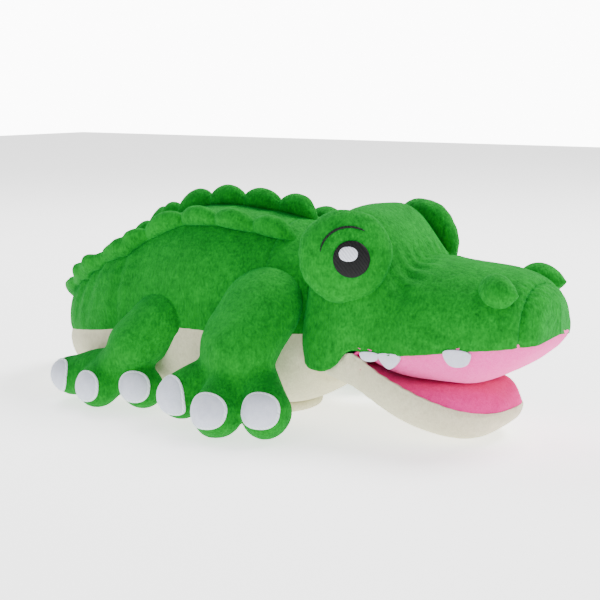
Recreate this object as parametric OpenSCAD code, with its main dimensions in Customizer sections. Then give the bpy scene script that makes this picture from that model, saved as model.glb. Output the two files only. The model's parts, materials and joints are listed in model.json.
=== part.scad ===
// Crocodile hand puppet with a moving mouth, lying on its belly.
// +X is towards the snout, the animal's right side is -Y, and the floor is z = 0.

/* [Body] */
// Neck hinge, measured along X from the middle of the whole puppet
neck_x = 35.5; // [20:1:44]
// Height of the neck hinge above the floor
neck_z = 62; // [52:1:74]
// From the neck hinge back to the tail hinge
body_len = 129; // [100:1:165]
// Full width of the body
body_w = 104; // [84:1:128]
// Height of the back above the floor
body_h = 112; // [92:1:135]
// Height of the seam between green back and cream belly
side_seam_z = 46; // [36:1:54]
// Gap under the belly, filled by the hem of the hand opening
belly_gap = 4; // [2:0.5:8]

/* [Head] */
// From the neck hinge to the end of the snout
head_len = 136; // [112:1:166]
// Full width across the cheeks
head_w = 98; // [80:1:120]
// Height of the top of the head above the floor
head_h = 122; // [100:1:148]
// Height of the top of the snout above the floor
snout_h = 94; // [86:1:112]
// Distance from the neck hinge to the mouth corner
corner_dx = 34; // [30:1:46]
// Height of the mouth corner and the jaw hinge
corner_z = 45; // [40:1:52]
// Height of the upper lip at the tip of the snout
upper_lip_z = 57; // [52:1:66]
// Diameter of each raised eye pad
eye_pad_d = 48; // [36:1:56]
// Diameter of each eye
eye_d = 21; // [14:1:26]

/* [Jaw] */
// From the jaw hinge to the end of the lower lip
jaw_len = 80; // [62:1:92]
// Full width of the jaw at the mouth corner
jaw_w = 88; // [70:1:96]
// Height of the lower lip above the floor
lower_lip_z = 18; // [14:1:24]

/* [Tail] */
// Length of the tail along its curve
tail_len = 116; // [90:1:150]
// Width of the tail at its root
tail_w = 82; // [64:1:86]

/* [Legs] */
// Width of each upper leg
leg_w = 48; // [36:1:58]
// Width of each foot across its toes
foot_w = 84; // [64:1:98]
// Thickness of a stuffed leg at the shoulder
leg_t = 26; // [18:1:32]
// Distance from the side of the body out to the front toes
front_reach = 44; // [34:1:54]
// Distance from the side of the body out to the rear toes
rear_reach = 30; // [26:1:44]

/* [Fabric] */
// Thickness of the plush skin
skin_t = 2.4; // [1.6:0.1:4]
// Thickness of the padding between skin and lining
pad_t = 11; // [6:0.5:14]
// Thickness of the smooth lining of the hand space
lining_t = 1.2; // [0.8:0.1:2]
// Clearance between two layers of one body
layer_gap = 0.3; // [0.2:0.1:0.6]
// Clearance between two bodies that move
joint_gap = 1.5; // [1:0.1:2.5]
// Thickness of the stiff boards inside the mouth
board_t = 2; // [1:0.25:3]
// Height of the scallops along the back
scallop_h = 11; // [6:0.5:16]
// Number of scallops in each row on the body
scallops = 4; // [3:1:10]

/* [Hand opening] */
// Length of the opening under the belly
opening_len = 78; // [60:1:90]
// Width of the opening under the belly
opening_w = 58; // [44:1:64]

/* [Hidden] */
$fn = 32;

GREEN = [0.02, 0.62, 0.2];
CREAM = [0.76, 0.77, 0.69];
PINK = [0.86, 0.55, 0.72];
DEEP_PINK = [0.83, 0.4, 0.58];
FELT = [0.72, 0.76, 0.83];
DARK = [0.06, 0.06, 0.11];
FILL = [0.93, 0.93, 0.9];
BOARD = [0.3, 0.3, 0.32];

tail_x = neck_x - body_len;
neck_r = 40;
tail_r = tail_w / 2;
tail_z = 50;
corner_x = neck_x + corner_dx;
snout_x = neck_x + head_len;
arc_steps = 12;

// ---- building blocks ----

function flatten(grid) = [for (row = grid) each row];
function mean(points) = [for (p = points) 1] * points / len(points);
function bow(c, power) = sign(c) * pow(abs(c), 2 / power);

// A point of an upright section: half width w, side height zs, and zt the top or the bottom.
// The angle v runs from the right side (0) over that top or bottom to the left side (180).
function section_point(x, w, zs, zt, v, power = 2.3) =
    [x, -w * bow(cos(v), power), zs + (zt - zs) * pow(abs(sin(v)), 2 / power)];
function half_section(x, w, zs, zt, power = 2.3) =
    [for (k = [0:arc_steps]) section_point(x, w, zs, zt, 180 * k / arc_steps, power)];
// The part of an upright section that lies beyond height z, towards zt
function cut_section(x, w, zs, zt, z, power) =
    let (from = asin(pow((z - zs) / (zt - zs), power / 2)))
    [for (k = [0:arc_steps]) section_point(x, w, zs, zt, from + (180 - 2 * from) * k / arc_steps, power)];
function cut_width(w, zs, zt, z, power) =
    w * bow(cos(asin(pow((z - zs) / (zt - zs), power / 2))), power);
function flip(grid) = [for (row = grid) [for (k = [len(row) - 1:-1:0]) row[k]]];

// A closed layer between an outer and an inner grid of points
module layer(outer, inner, wrap = false) {
    nu = len(outer);
    nv = len(outer[0]);
    cols = wrap ? nv : nv - 1;
    inside = nu * nv;
    function id(i, j) = i * nv + j % nv;
    function side(p, q) = [[q, p, p + inside], [q, p + inside, q + inside]];
    skins = [for (i = [0:nu - 2], j = [0:cols - 1])
             let (a = id(i, j), b = id(i + 1, j), d = id(i + 1, j + 1), e = id(i, j + 1))
             each [[a, d, b], [a, e, d], [a, b, d] + [inside, inside, inside],
                   [a, d, e] + [inside, inside, inside]]];
    ends = [for (j = [0:cols - 1])
            each concat(side(id(0, j), id(0, j + 1)), side(id(nu - 1, j + 1), id(nu - 1, j)))];
    edges = wrap ? [] : [for (i = [0:nu - 2])
            each concat(side(id(i + 1, 0), id(i, 0)), side(id(i, nv - 1), id(i + 1, nv - 1)))];
    polyhedron(concat(flatten(outer), flatten(inner)), concat(skins, ends, edges), convexity = 6);
}

// A closed solid through rings of points, each end drawn to the middle of its ring
module loft(rings) {
    n = len(rings);
    m = len(rings[0]);
    points = concat(flatten(rings), [mean(rings[0]), mean(rings[n - 1])]);
    faces = concat(
        [for (i = [0:n - 2], j = [0:m - 1]) let (a = i * m + j, b = i * m + (j + 1) % m)
         each [[a, b, b + m], [a, b + m, a + m]]],
        [for (j = [0:m - 1]) [n * m, (j + 1) % m, j]],
        [for (j = [0:m - 1]) [n * m + 1, (n - 1) * m + j, (n - 1) * m + (j + 1) % m]]);
    polyhedron(points, faces, convexity = 6);
}

module ellipsoid(centre, radii) {
    translate(centre) scale(radii / radii[0]) sphere(radii[0]);
}

// A stadium: a slot with round ends, lying along X
module stadium(len, wid) {
    square([len - wid, wid], center = true);
    for (s = [-1, 1]) translate([s * (len - wid) / 2, 0]) circle(d = wid, $fn = 48);
}

// ---- torso ----

// Rows: share of the body's length behind the neck hinge, then the half width, belly height
// and back height there as shares of the body's own. The front closes in on the neck and the
// rear on the tail's root.
neck_wide = 41;
neck_clearance = 4.8;
tail_clearance = 5.8;
BODY_WIDTH = [[0.25, 0.95], [0.45, 1], [0.7, 0.99]];
BODY_HALF_WIDTH = concat([[0.12, neck_wide + neck_clearance]],
                         [for (row = BODY_WIDTH) [row[0], row[1] * body_w / 2]],
                         [[0.92, tail_r + tail_clearance]]);
BODY_TOP = [[0.12, 0.955], [0.35, 1], [0.65, 1], [0.8, 0.98], [0.92, 0.95]];
BELLY_RISE = [[0.12, 14], [0.25, 2], [0.3, 0], [0.85, 0], [0.92, 2]];
torso_front = 0.14;
torso_back = 0.9;
torso_steps = 12;

function body_x(s) = neck_x - s * body_len;
function body_hw(s) = lookup(s, BODY_HALF_WIDTH);
function body_top(s) = body_h * lookup(s, BODY_TOP);
function body_bottom(s) = belly_gap + lookup(s, BELLY_RISE);
function torso_stations(from, to) = [for (k = [torso_steps:-1:0]) from + (to - from) * k / torso_steps];

function back_grid(from, to, d) = [for (s = torso_stations(from, to))
    half_section(body_x(s), body_hw(s) - d, side_seam_z, body_top(s) - d)];
function belly_grid(from, to, d) = [for (s = torso_stations(from, to))
    half_section(body_x(s), body_hw(s) - d, side_seam_z - layer_gap, body_bottom(s) + d, 3.2)];

pad_outer = skin_t + layer_gap;
pad_inner = pad_outer + pad_t;
lining_outer = pad_inner + layer_gap;
pad_front = 0.24;
pad_back = 0.74;

module torso_back_panel() color(GREEN)
    layer(back_grid(torso_front, torso_back, 0), back_grid(torso_front, torso_back, skin_t));

module torso_belly_panel() color(CREAM)
    difference() {
        layer(flip(belly_grid(torso_front, torso_back, 0)),
              flip(belly_grid(torso_front, torso_back, skin_t)));
        translate([opening_x, 0, -1]) linear_extrude(side_seam_z / 2) stadium(opening_len, opening_w);
    }

module torso_padding() color(FILL)
    layer(back_grid(pad_front, pad_back, pad_outer), back_grid(pad_front, pad_back, pad_inner));

module hand_lining() color(FELT)
    layer(back_grid(pad_front, pad_back, lining_outer),
          back_grid(pad_front, pad_back, lining_outer + lining_t));

opening_x = neck_x - body_len * 0.48;
hem_w = 5;
module opening_hem() color(CREAM) translate([opening_x, 0, 0])
    linear_extrude(belly_gap + skin_t)
    difference() {
        stadium(opening_len - 2 * layer_gap, opening_w - 2 * layer_gap);
        stadium(opening_len - 2 * hem_w, opening_w - 2 * hem_w);
    }

// ---- scallops ----

// A puffed strip that stands on the skin along a row of [point, outward direction] pairs
module scallop_strip(row, waves, thick = 4.5) {
    n = len(row) - 1;
    function puff(k) = 0.35 + 0.65 * pow(abs(sin(180 * waves * k / n)), 0.6);
    function ring(k) = let (p = row[k][0], up = row[k][1],
                            t = row[min(k + 1, n)][0] - row[max(k - 1, 0)][0],
                            side = cross(t, up) / norm(cross(t, up)),
                            h = scallop_h * puff(k), w = thick * puff(k))
        [for (a = [0:60:300]) p + up * (layer_gap + h / 2 * (1 - cos(a))) + side * w * sin(a)];
    loft([for (k = [0:n]) ring(k)]);
}

scallop_steps = scallops * 10;
// The angle on the back where a side row stands
row_angle = 58;
function back_row(v) = [for (k = [0:scallop_steps]) let (
        s = torso_back - 0.01 + (torso_front + 0.02 - torso_back) * k / scallop_steps,
        p = section_point(body_x(s), body_hw(s), side_seam_z, body_top(s), v),
        q = section_point(body_x(s), body_hw(s) + 5, side_seam_z, body_top(s) + 5, v))
    [p, (q - p) / norm(q - p)]];

module back_scallops_right() color(GREEN) scallop_strip(back_row(row_angle), scallops);
module back_scallops_centre() color(GREEN) scallop_strip(back_row(90), scallops);
module back_scallops_left() color(GREEN) scallop_strip(back_row(180 - row_angle), scallops);

// ---- tail ----

// The tail's line turns to the left in one arc, then straightens
tail_turn = 104;
tail_bend_r = tail_len / (tail_turn * PI / 180);
tail_height = [[0, tail_z], [0.25, 42], [0.5, 29], [0.8, 15], [1, 8]];
tail_half_w = [[0, 1], [0.25, 0.87], [0.5, 0.62], [0.8, 0.34], [1, 0.12]];
tail_root_h = 44;
tail_half_h = [[0, tail_root_h], [0.25, 38], [0.5, 27], [0.8, 13], [1, 6.5]];
tail_steps = 10;

function tail_mid(t) = let (a = tail_turn * t)
    [tail_x - tail_bend_r * sin(a), tail_bend_r * (1 - cos(a)), lookup(t, tail_height)];
function tail_side(t) = [sin(tail_turn * t), cos(tail_turn * t), 0];
function tail_point(t, v, d) = tail_mid(t)
    - tail_side(t) * (tail_r * lookup(t, tail_half_w) - d) * bow(cos(v), 2.2)
    + [0, 0, (lookup(t, tail_half_h) - d) * bow(sin(v), 2.2)];
// The root is a ball about the hinge, seen as rings that grow back to the full section
function root_point(a, v, d) = [tail_x + (tail_r - d) * sin(a),
    -(tail_r - d) * cos(a) * bow(cos(v), 2.2), tail_z + (tail_root_h - d) * cos(a) * bow(sin(v), 2.2)];
function half_ring(from) = [for (k = [0:arc_steps]) from + 180 * k / arc_steps];
function tail_grid(from, d) = concat(
    [for (k = [tail_steps:-1:1]) [for (v = half_ring(from)) tail_point(k / tail_steps, v, d)]],
    [for (a = [0:15:60]) [for (v = half_ring(from)) root_point(a, v, d)]]);
function round_grid(d) = concat(
    [for (k = [tail_steps:-1:1]) [for (v = [0:20:340]) tail_point(k / tail_steps, v, d)]],
    [for (a = [0:20:80]) [for (v = [0:20:340]) root_point(a, v, d)]]);

module tail_upper_panel() color(GREEN)
    layer(tail_grid(0, 0), tail_grid(0, skin_t));
module tail_under_panel() color(CREAM)
    translate([0, 0, -layer_gap]) layer(tail_grid(180, 0), tail_grid(180, skin_t));
module tail_stuffing() color(FILL)
    loft(flip(round_grid(skin_t + 2 * layer_gap)));

tail_scallop_count = 4;
tail_row_steps = tail_scallop_count * 8;
function tail_row(v) = [for (k = [0:tail_row_steps]) let (
        t = 0.9 - 0.78 * k / tail_row_steps, p = tail_point(t, v, 0), q = tail_point(t, v, -5))
    [p, (q - p) / norm(q - p)]];
module tail_scallops() color(GREEN)
    for (v = [row_angle, 90, 180 - row_angle]) scallop_strip(tail_row(v), tail_scallop_count, 3.5);

// ---- head ----

// Shares of the way from the neck hinge to the end of the snout
HEAD_WIDTH = [[0, 0.9], [0.1, 0.98], [0.22, 1], [0.33, 0.94], [0.46, 0.9], [0.67, 0.8], [0.87, 0.7],
              [0.94, 0.62], [0.98, 0.42], [1, 0.08]];
CROWN = [[0, 0.9], [0.07, 0.96], [0.15, 0.99], [0.23, 1], [0.29, 0.97], [0.34, 0.88]];
SNOUT_TOP = [[0.4, 1], [0.6, 0.99], [0.8, 0.965], [0.88, 0.94], [0.94, 0.88], [0.98, 0.79], [1, 0.67]];
HEAD_TOP = concat([for (row = CROWN) [row[0], row[1] * head_h]],
                  [for (row = SNOUT_TOP) [row[0], row[1] * snout_h]]);
head_power = 2.5;
HEAD_STATIONS = [0.02, 0.07, 0.15, 0.22, 0.29, 0.34, 0.4, 0.47, 0.54, 0.62, 0.7, 0.78, 0.85, 0.92];
cap_start = 0.92;

function head_x(s) = neck_x + s * head_len;
function head_hw(s) = head_w / 2 * lookup(s, HEAD_WIDTH);
function head_top(s) = lookup(s, HEAD_TOP);
corner_s = corner_dx / head_len;
function upper_lip(s) = corner_z + (upper_lip_z - corner_z) * (s - corner_s) / (cap_start - corner_s);
function head_edge(s) = s < corner_s
    ? corner_z - 10 * sin(180 * min(1, (corner_s - s) / corner_s * 0.8))
    : upper_lip(s);
function head_grid(stations, d) = [for (s = stations)
    half_section(head_x(s), head_hw(s) - d, head_edge(s), head_top(s) - d, head_power)];

module head_panel() color(GREEN)
    layer(head_grid(HEAD_STATIONS, 0), head_grid(HEAD_STATIONS, skin_t));

CAP_STATIONS = [cap_start + layer_gap / head_len, 0.94, 0.96, 0.98, 1];
module snout_cap() color(GREEN)
    layer(head_grid(CAP_STATIONS, 0), head_grid(CAP_STATIONS - [0, 0, 0, 0, 0.015], skin_t));

// The space for four fingers runs level from the neck to the middle of the snout
pocket_h = 20;
POCKET_STATIONS = [for (s = HEAD_STATIONS) if (s > 0.25 && s < 0.9) s];
// From the lip to the mouth's lining, over which the board and then the pocket lie
mouth_gap = 3;
pocket_base = upper_lip(max(POCKET_STATIONS)) + mouth_gap + board_t + 3 * layer_gap;
pocket_wall = 6;
// Room for the flats of a faceted curve inside another
flat_gap = 0.5;
padding_outer = pad_outer + flat_gap;
function pocket_hw(s) = cut_width(head_hw(s) - padding_outer, head_edge(s), head_top(s) - padding_outer,
                                  pocket_base, head_power) - pocket_wall;
function pocket_grid(d) = [for (s = POCKET_STATIONS)
    half_section(head_x(s), pocket_hw(s) + d, pocket_base, pocket_base + pocket_h + d, 4)];
module head_padding() color(FILL)
    layer([for (s = POCKET_STATIONS) cut_section(head_x(s), head_hw(s) - padding_outer, head_edge(s),
                                                 head_top(s) - padding_outer, pocket_base, head_power)],
          pocket_grid(layer_gap));
module finger_pocket() color(FELT) layer(pocket_grid(0), pocket_grid(-lining_t));

// The neck is a round sleeve about the hinge, so the head nods inside the body's front rim
function neck_ring(x, d) = let (r = sqrt(pow(neck_r, 2) - pow(x, 2)) - d)
    [for (v = [0:20:340]) [neck_x + x, -r * neck_wide / neck_r * cos(v), neck_z + r * sin(v)]];
neck_rings = [-26:4:2];
module neck_sleeve() color(GREEN)
    layer([for (x = neck_rings) neck_ring(x, 0)], [for (x = neck_rings) neck_ring(x, skin_t)],
          wrap = true);

// The cream throat closes the head underneath, up to the jaw's round back
throat_start = 0.05;
throat_clearance = 13.6;
throat_steps = 4;
throat_end = corner_s - throat_clearance / head_len;
function throat_grid(d) = [for (k = [0:throat_steps])
    let (s = throat_start + (throat_end - throat_start) * k / throat_steps)
    half_section(head_x(s), head_hw(s) - skin_t - layer_gap - d, head_edge(s) - 0.2,
                 24 + d, 2.4)];
module throat_panel() color(CREAM) layer(flip(throat_grid(0)), flip(throat_grid(skin_t)));

// ---- face ----

eye_pad_x = neck_x + 30;
eye_pad_z = head_h - eye_pad_d / 2 + 1;
eye_pad_y = head_hw(0.22);
eye_pad_t = 5;
eye_x = eye_pad_x + 6;
eye_z = eye_pad_z - 3;
eye_y = eye_pad_y + eye_pad_t + 2 * layer_gap;
nostril_x = neck_x + head_len * 0.825;
nostril_y = head_w * 0.27;
nostril_size = [11, 8, 5];
nostril_z = head_edge(0.825) + (head_top(0.825) - head_edge(0.825)) * 0.76 + nostril_size[2] + 3;

// A soft disc standing upright, facing the side
module side_disc(centre, d, t, tall = 1) {
    translate(centre) rotate([90, 0, 0]) scale([1, tall, 1]) cylinder(d = d, h = t, center = true);
}

module eye_pad(side) color(GREEN)
    side_disc([eye_pad_x, side * (eye_pad_y + eye_pad_t / 2 + layer_gap), eye_pad_z], eye_pad_d, eye_pad_t);
module eye_pad_right() eye_pad(-1);
module eye_pad_left() eye_pad(1);

eye_t = 1.4;
module eye(side) color(DARK) side_disc([eye_x, side * (eye_y + eye_t / 2), eye_z], eye_d, eye_t);
module eye_right() eye(-1);
module eye_left() eye(1);

highlight_t = 0.6;
module eye_highlights() color(FELT) for (side = [-1, 1])
    side_disc([eye_x - eye_d * 0.12, side * (eye_y + eye_t + layer_gap + highlight_t / 2),
               eye_z + eye_d * 0.2], eye_d * 0.36, highlight_t, 0.8);

brow_r = eye_d * 0.82;
module brow_stitching() color(DARK) for (side = [-1, 1])
    translate([eye_x, side * (eye_y + highlight_t / 2), eye_z]) rotate([90, 0, 0])
    rotate([0, 0, 75]) rotate_extrude(angle = 100) translate([brow_r, 0])
    square([1.4, highlight_t], center = true);

module nostril(side) color(GREEN) ellipsoid([nostril_x, side * nostril_y, nostril_z], nostril_size);
module nostril_right() nostril(-1);
module nostril_left() nostril(1);

// ---- mouth ----

lip_slope = atan2(upper_lip_z - corner_z, head_len * (cap_start - corner_s));
jaw_slope = atan2(corner_z - lower_lip_z, jaw_len);

// The flat outline of a mouth lining: its widths at the back, in the middle and at the nose
lining_back = 10;
lining_middle = 0.6;
module mouth_outline(len, back, middle, nose) {
    hull() {
        translate([lining_back, 0]) square([1, back], center = true);
        translate([len * lining_middle, 0]) square([1, middle], center = true);
        for (s = [-1, 1]) translate([len - nose / 3, s * nose / 6]) circle(d = nose * 2 / 3);
    }
}

palate_t = 3;
palate_len = (snout_x - corner_x) * 0.93;
// How much narrower than the cheeks the mouth is at its corner
corner_inset = 4.2;
corner_hw = head_hw(corner_s) - corner_inset;
module upper_plate(t, lift, shrink) {
    translate([corner_x, 0, corner_z]) rotate([0, -lip_slope, 0]) translate([0, 0, lift])
    linear_extrude(t) offset(delta = -shrink)
    mouth_outline(palate_len, 2 * corner_hw,
                  2 * head_hw(corner_s + lining_middle * palate_len / head_len), head_w * 0.62);
}
module palate_lining() color(PINK) upper_plate(palate_t, mouth_gap - palate_t, skin_t + layer_gap);
module upper_mouth_board() color(BOARD)
    upper_plate(board_t, mouth_gap + layer_gap, skin_t + 2);

module lower_plate(t, lift, shrink) {
    translate([corner_x, 0, corner_z]) rotate([0, jaw_slope, 0]) translate([0, 0, lift])
    linear_extrude(t) offset(delta = -shrink)
    mouth_outline(jaw_len / cos(jaw_slope), 2 * jaw_hw(lining_back / jaw_len),
                  2 * jaw_hw(lining_middle), jaw_w * 0.624);
}
tongue_t = 3;
module tongue_lining() color(DEEP_PINK)
    lower_plate(tongue_t, -mouth_gap, skin_t + 2);
module lower_mouth_board() color(BOARD)
    lower_plate(board_t, -mouth_gap - layer_gap - board_t, skin_t + 3);

// Rows: share of the lip, width, height
tooth_rows = [[0.13, 9, 2.8], [0.27, 10, 4.8], [0.66, 12, 6]];
module teeth(side) color(FELT) for (row = tooth_rows) {
    s = corner_s + row[0] * (cap_start - corner_s);
    top = upper_lip(s - row[1] / 2 / head_len) - layer_gap;
    translate([head_x(s), side * (head_hw(s) - skin_t / 2), top - row[2]])
    linear_extrude(row[2], scale = [1.6, 1]) square([row[1] / 1.6, 1.4], center = true);
}
module teeth_right() teeth(-1);
module teeth_left() teeth(1);

// ---- jaw ----

// Shares of the jaw's width, in front of its root, which is as wide as the mouth's corner
JAW_WIDTH = [[0.25, 0.98], [0.5, 0.9], [0.7, 0.79], [0.85, 0.62], [0.95, 0.4], [1, 0.08]];
JAW_HALF_WIDTH = concat([[0, corner_hw]], [for (row = JAW_WIDTH) [row[0], row[1] * jaw_w / 2]]);
JAW_BOTTOM = [[0, 22], [0.2, 10], [0.4, 1], [0.5, 0], [0.75, 0], [0.9, 3], [1, 11]];
jaw_steps = 12;
function jaw_hw(s) = lookup(s, JAW_HALF_WIDTH);
function jaw_x(s) = corner_x + s * jaw_len;
function jaw_edge(s) = corner_z - mouth_gap + (lower_lip_z - corner_z) * s;
function jaw_bottom(s) = lookup(s, JAW_BOTTOM);
jaw_power = 2.6;
function jaw_grid(from, to, n, d, drop) = [for (k = [0:n]) let (s = from + (to - from) * k / n)
    cut_section(jaw_x(s), jaw_hw(s) - d, jaw_edge(s),
                jaw_bottom(s) + d, jaw_edge(s) - drop, jaw_power)];

module jaw_panel() color(CREAM)
    layer(flip(jaw_grid(0, 1, jaw_steps, 0, 0)), flip(jaw_grid(0, 1, jaw_steps, skin_t, 0)));
jaw_drop = board_t + tongue_t + 2;
jaw_pad_t = 5;
thumb_outer = padding_outer + jaw_pad_t + flat_gap;
module jaw_padding() color(FILL)
    layer(flip(jaw_grid(0.1, 0.86, 8, padding_outer, jaw_drop)),
          flip(jaw_grid(0.1, 0.86, 8, padding_outer + jaw_pad_t, jaw_drop)));
module thumb_pocket() color(FELT)
    layer(flip(jaw_grid(0.12, 0.8, 8, thumb_outer, jaw_drop)),
          flip(jaw_grid(0.12, 0.8, 8, thumb_outer + lining_t, jaw_drop)));

// ---- legs ----

// A leg hangs from its hinge beside the body, down and out to a foot that is flat on the floor.
// Rows: share of the way from hinge to toes, then outward run, height, half width, half thickness
module leg_part(along, hinge_z, reach, toe_shift, part) {
    at_x = body_x(along);
    hinge_y = body_hw(along) + joint_gap + leg_t / 2;
    run = reach - leg_t / 2;
    out = [[0, 0], [0.25, 0.12], [0.5, 0.42], [0.75, 0.78], [1, 1]];
    high = [[0, 1], [0.25, 0.66], [0.5, 0.36], [0.75, 0.15], [1, 0.08]];
    wide = [[0, leg_w / 2], [0.35, leg_w / 2], [0.6, foot_w * 0.36], [0.8, foot_w / 2],
            [0.93, foot_w * 0.47], [1, foot_w * 0.3]];
    thick = [[0, leg_t / 2], [0.4, leg_t / 2], [0.7, leg_t * 0.42], [0.93, leg_t * 0.3], [1, leg_t * 0.12]];
    n = 9;
    function mid(t) = [at_x + toe_shift * t, -hinge_y - run * lookup(t, out), hinge_z * lookup(t, high)];
    function across(t) = let (a = mid(min(1, t + 0.1)) - mid(max(0, t - 0.1)))
        [0, -a[2], a[1]] / norm([0, a[2], a[1]]);
    function ring(t, d) = [for (v = [0:24:336])
        let (p = mid(t) + [(lookup(t, wide) - d) * bow(cos(v), 2.4), 0, 0]
                 + across(t) * (lookup(t, thick) - d) * sin(v))
        [p[0], p[1], max(d, p[2])]];
    // The shoulder end is half round about the hinge, in rings that shrink to its top
    function top_ring(a, d) = [for (v = [0:24:336])
        let (r = (leg_t / 2 - d) * cos(a), u = -across(0))
        mid(0) + [(leg_w / 2 - d - (1 - cos(a)) * leg_w / 6) * bow(cos(v), 2.4), 0, 0]
        + across(0) * r * sin(v) + cross(u, [1, 0, 0]) * (leg_t / 2 - d) * sin(a)];
    function rings(d) = concat([for (a = [80:-20:20]) top_ring(a, d)], [for (k = [0:n]) ring(k / n, d)]);
    if (part == "skin") color(GREEN) layer(rings(0), rings(skin_t), wrap = true);
    if (part == "stuffing") color(FILL) loft(rings(skin_t + layer_gap));
    if (part == "claws") color(FELT) for (k = [-1, 0, 1]) intersection() {
        translate([at_x + toe_shift + k * foot_w * 0.33, -hinge_y - run * (0.99 - 0.12 * abs(k)),
                   leg_t * 0.36])
            rotate([48, 0, k * 24]) cylinder(d = foot_w * 0.22, h = leg_t * 0.7);
        layer(rings(-layer_gap - claw_t), rings(-layer_gap), wrap = true);
        translate([at_x - foot_w, -hinge_y - 2 * reach, claw_low]) cube([2 * foot_w, 2 * reach, leg_t]);
    }
}

claw_t = 1.2;
// The lowest point of a claw, clear of the sole
claw_low = 5;
front_hinge_z = 70;
rear_hinge_z = 56;
module front_leg(part) leg_part(0.19, front_hinge_z, front_reach, -6, part);
module rear_leg(part) leg_part(0.85, rear_hinge_z, rear_reach, -18, part);

module front_right_leg_skin() front_leg("skin");
module front_right_leg_stuffing() front_leg("stuffing");
module front_right_claws() front_leg("claws");
module front_left_leg_skin() mirror([0, 1, 0]) front_leg("skin");
module front_left_leg_stuffing() mirror([0, 1, 0]) front_leg("stuffing");
module front_left_claws() mirror([0, 1, 0]) front_leg("claws");
module rear_right_leg_skin() rear_leg("skin");
module rear_right_leg_stuffing() rear_leg("stuffing");
module rear_right_claws() rear_leg("claws");
module rear_left_leg_skin() mirror([0, 1, 0]) rear_leg("skin");
module rear_left_leg_stuffing() mirror([0, 1, 0]) rear_leg("stuffing");
module rear_left_claws() mirror([0, 1, 0]) rear_leg("claws");

torso_back_panel();
torso_belly_panel();
torso_padding();
hand_lining();
opening_hem();
back_scallops_right();
back_scallops_centre();
back_scallops_left();
tail_upper_panel();
tail_under_panel();
tail_stuffing();
tail_scallops();
neck_sleeve();
head_panel();
snout_cap();
throat_panel();
head_padding();
finger_pocket();
eye_pad_right();
eye_pad_left();
eye_right();
eye_left();
eye_highlights();
brow_stitching();
nostril_right();
nostril_left();
upper_mouth_board();
palate_lining();
teeth_right();
teeth_left();
jaw_panel();
jaw_padding();
thumb_pocket();
lower_mouth_board();
tongue_lining();
front_right_leg_skin();
front_right_leg_stuffing();
front_right_claws();
front_left_leg_skin();
front_left_leg_stuffing();
front_left_claws();
rear_right_leg_skin();
rear_right_leg_stuffing();
rear_right_claws();
rear_left_leg_skin();
rear_left_leg_stuffing();
rear_left_claws();
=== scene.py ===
# %% [markdown]
# # A crocodile hand puppet in plush
# The hinges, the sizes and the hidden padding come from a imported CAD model, which is loaded
# first and never moved. Everything here is the soft outside: fabric panels, seams, stitching.
# Lengths below are written in millimetres and turned into Blender's metres when a mesh is made.

# %% Load the frame
import json
import math

import bmesh
import bpy
import numpy as np
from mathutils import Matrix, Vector
from mathutils.bvhtree import BVHTree


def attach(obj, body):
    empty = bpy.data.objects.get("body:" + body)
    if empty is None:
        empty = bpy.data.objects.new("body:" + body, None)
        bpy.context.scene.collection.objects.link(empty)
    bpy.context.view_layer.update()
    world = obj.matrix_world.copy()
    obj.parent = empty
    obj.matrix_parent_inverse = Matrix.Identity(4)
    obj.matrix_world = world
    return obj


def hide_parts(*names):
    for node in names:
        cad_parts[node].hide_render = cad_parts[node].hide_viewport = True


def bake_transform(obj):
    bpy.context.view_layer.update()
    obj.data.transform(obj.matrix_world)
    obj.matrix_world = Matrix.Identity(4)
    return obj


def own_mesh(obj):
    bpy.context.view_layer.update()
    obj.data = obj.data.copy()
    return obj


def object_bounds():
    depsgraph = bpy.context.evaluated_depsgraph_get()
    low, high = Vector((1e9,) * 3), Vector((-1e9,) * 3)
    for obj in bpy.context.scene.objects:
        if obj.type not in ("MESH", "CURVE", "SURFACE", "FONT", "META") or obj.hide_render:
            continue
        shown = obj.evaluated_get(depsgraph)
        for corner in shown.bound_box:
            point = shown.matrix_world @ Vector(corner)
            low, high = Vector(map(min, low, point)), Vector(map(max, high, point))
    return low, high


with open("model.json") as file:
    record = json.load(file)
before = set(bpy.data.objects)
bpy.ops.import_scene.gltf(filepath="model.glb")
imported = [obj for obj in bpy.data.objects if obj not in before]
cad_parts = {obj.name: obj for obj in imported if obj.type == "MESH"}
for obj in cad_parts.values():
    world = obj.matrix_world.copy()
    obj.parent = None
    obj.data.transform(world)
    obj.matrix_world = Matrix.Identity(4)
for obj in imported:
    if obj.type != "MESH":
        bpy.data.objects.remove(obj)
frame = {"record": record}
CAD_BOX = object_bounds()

MM = 0.001
JOINTS = {joint["name"]: joint for joint in frame["record"]["behaviour"]["joints"]}


def hinge(name):
    """Where a joint's hinge lies, in millimetres."""
    return np.array(JOINTS[name]["pos_m"]) / MM


TAIL = hinge("tail_swing")
LOW, HIGH = (np.array(corner) / MM for corner in CAD_BOX)
print("box of the CAD model, mm:", LOW.round(1), HIGH.round(1))

# %% [markdown]
# ## The camera
# It stands about three quarters of a metre away, a hand's length above the table, and looks at the
# puppet's right side from the front. A long lens from that distance keeps a little perspective.
# It is made first, because the floor and the lights are placed round what it sees.

# %% Camera
CAMERA_AZIMUTH, CAMERA_ELEVATION = math.radians(34.34), math.radians(9.29)
CAMERA_DISTANCE = 782
LENS_TO_SENSOR = 1348.5 / 600
AIM = np.array([4.5, 2.7, 62.4])
SIGHT = np.array([-math.sin(CAMERA_AZIMUTH) * math.cos(CAMERA_ELEVATION),
                  math.cos(CAMERA_AZIMUTH) * math.cos(CAMERA_ELEVATION),
                  -math.sin(CAMERA_ELEVATION)])

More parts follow.
